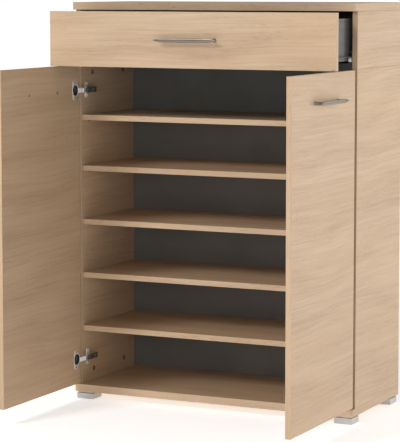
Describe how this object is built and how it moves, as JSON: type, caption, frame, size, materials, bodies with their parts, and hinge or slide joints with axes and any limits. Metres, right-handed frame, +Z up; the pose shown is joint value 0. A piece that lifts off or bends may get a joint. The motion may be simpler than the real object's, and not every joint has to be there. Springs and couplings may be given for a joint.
{
  "type": "shoe cabinet",
  "caption": "Two-door shoe cabinet with shelves inside, a metal-sided drawer on roller runners above, and square metal feet.",
  "frame": {"origin": "on the floor, at the middle of the box that the cabinet fills with its doors a quarter turn open", "axes": "+X to the cabinet's right seen from the front, +Y towards its back, +Z up; the fronts face -Y"},
  "size_m": [0.944, 0.8102, 1.182],
  "materials": {
    "oak_board": "light oak decor on board, matt, grain running across",
    "graphite_board": "dark graphite board, matt",
    "grey_board": "light grey melamine board, matt",
    "grey_steel": "grey powder-coated sheet steel, satin",
    "satin_nickel": "satin nickel, fine brushing along the length",
    "hinge_steel": "bright nickel-plated steel",
    "zinc_steel": "zinc-plated screw",
    "foot_metal": "satin aluminium",
    "nylon": "natural white nylon"
  },
  "bodies": {
    "carcass": {"bottom_board": "oak_board", "top_board": "oak_board", "lower_side_left": "oak_board", "lower_side_right": "oak_board", "upper_side_left": "oak_board", "upper_side_right": "oak_board", "middle_board": "graphite_board", "back_panel": "graphite_board", "shelf_1": "oak_board", "shelf_2": "oak_board", "shelf_3": "oak_board", "shelf_4": "oak_board", "shelf_5": "oak_board", "foot_front_left": "foot_metal", "foot_front_right": "foot_metal", "foot_back_left": "foot_metal", "foot_back_right": "foot_metal", "runner_left": "grey_steel", "runner_right": "grey_steel", "mounting_plate_left_upper": "hinge_steel", "hinge_arm_left_upper": "hinge_steel", "mounting_plate_left_lower": "hinge_steel", "hinge_arm_left_lower": "hinge_steel", "mounting_plate_right_upper": "hinge_steel", "hinge_arm_right_upper": "hinge_steel", "mounting_plate_right_lower": "hinge_steel", "hinge_arm_right_lower": "hinge_steel"},
    "left_door": {"door_left": "oak_board", "door_handle_left": "satin_nickel", "door_handle_screw_left_front": "zinc_steel", "door_handle_screw_left_back": "zinc_steel", "hinge_cup_left_upper": "hinge_steel", "hinge_cup_left_lower": "hinge_steel"},
    "left_hinge_links": {"hinge_link_left_upper": "hinge_steel", "hinge_link_left_lower": "hinge_steel"},
    "right_door": {"door_right": "oak_board", "door_handle_right": "satin_nickel", "door_handle_screw_right_front": "zinc_steel", "door_handle_screw_right_back": "zinc_steel", "hinge_cup_right_upper": "hinge_steel", "hinge_cup_right_lower": "hinge_steel"},
    "right_hinge_links": {"hinge_link_right_upper": "hinge_steel", "hinge_link_right_lower": "hinge_steel"},
    "drawer": {"drawer_front": "oak_board", "drawer_handle": "satin_nickel", "drawer_handle_screw_left": "zinc_steel", "drawer_handle_screw_right": "zinc_steel", "drawer_side_left": "grey_steel", "drawer_side_right": "grey_steel", "drawer_bottom": "grey_board", "drawer_back": "grey_board"},
    "front_rollers": {"front_roller_left": "nylon", "front_roller_right": "nylon"},
    "rear_rollers": {"rear_roller_left": "nylon", "rear_roller_right": "nylon"}
  },
  "joints": [
    {"name": "left_door_hinge", "type": "hinge", "parent": "carcass", "child": "left_door", "pos_m": [-0.44262, 0.0365, 0.523], "axis": [0, 0, -1], "range_deg": [-90, 15]},
    {"name": "right_door_hinge", "type": "hinge", "parent": "carcass", "child": "right_door", "pos_m": [0.44262, 0.0365, 0.523], "axis": [0, 0, 1], "range_deg": [-90, 15]},
    {"name": "left_hinge_link_swing", "type": "hinge", "parent": "carcass", "child": "left_hinge_links", "pos_m": [-0.417, 0.04512, 0.523], "axis": [0, 0, -1], "range_deg": [-140, 24]},
    {"name": "right_hinge_link_swing", "type": "hinge", "parent": "carcass", "child": "right_hinge_links", "pos_m": [0.417, 0.04512, 0.523], "axis": [0, 0, 1], "range_deg": [-140, 24]},
    {"name": "drawer_slide", "type": "slide", "parent": "carcass", "child": "drawer", "axis": [0, -1, 0], "range_m": [-0.1385, 0.095]},
    {"name": "front_roller_spin", "type": "hinge", "parent": "carcass", "child": "front_rollers", "pos_m": [0, 0.06313, 1.02525], "axis": [1, 0, 0], "continuous": true},
    {"name": "rear_roller_spin", "type": "hinge", "parent": "drawer", "child": "rear_rollers", "pos_m": [0, 0.22062, 1.02525], "axis": [1, 0, 0], "continuous": true}
  ],
  "couplings": [
    {"joint": "left_hinge_link_swing", "follows": "left_door_hinge", "ratio": 1.55},
    {"joint": "right_hinge_link_swing", "follows": "right_door_hinge", "ratio": 1.55}
  ]
}
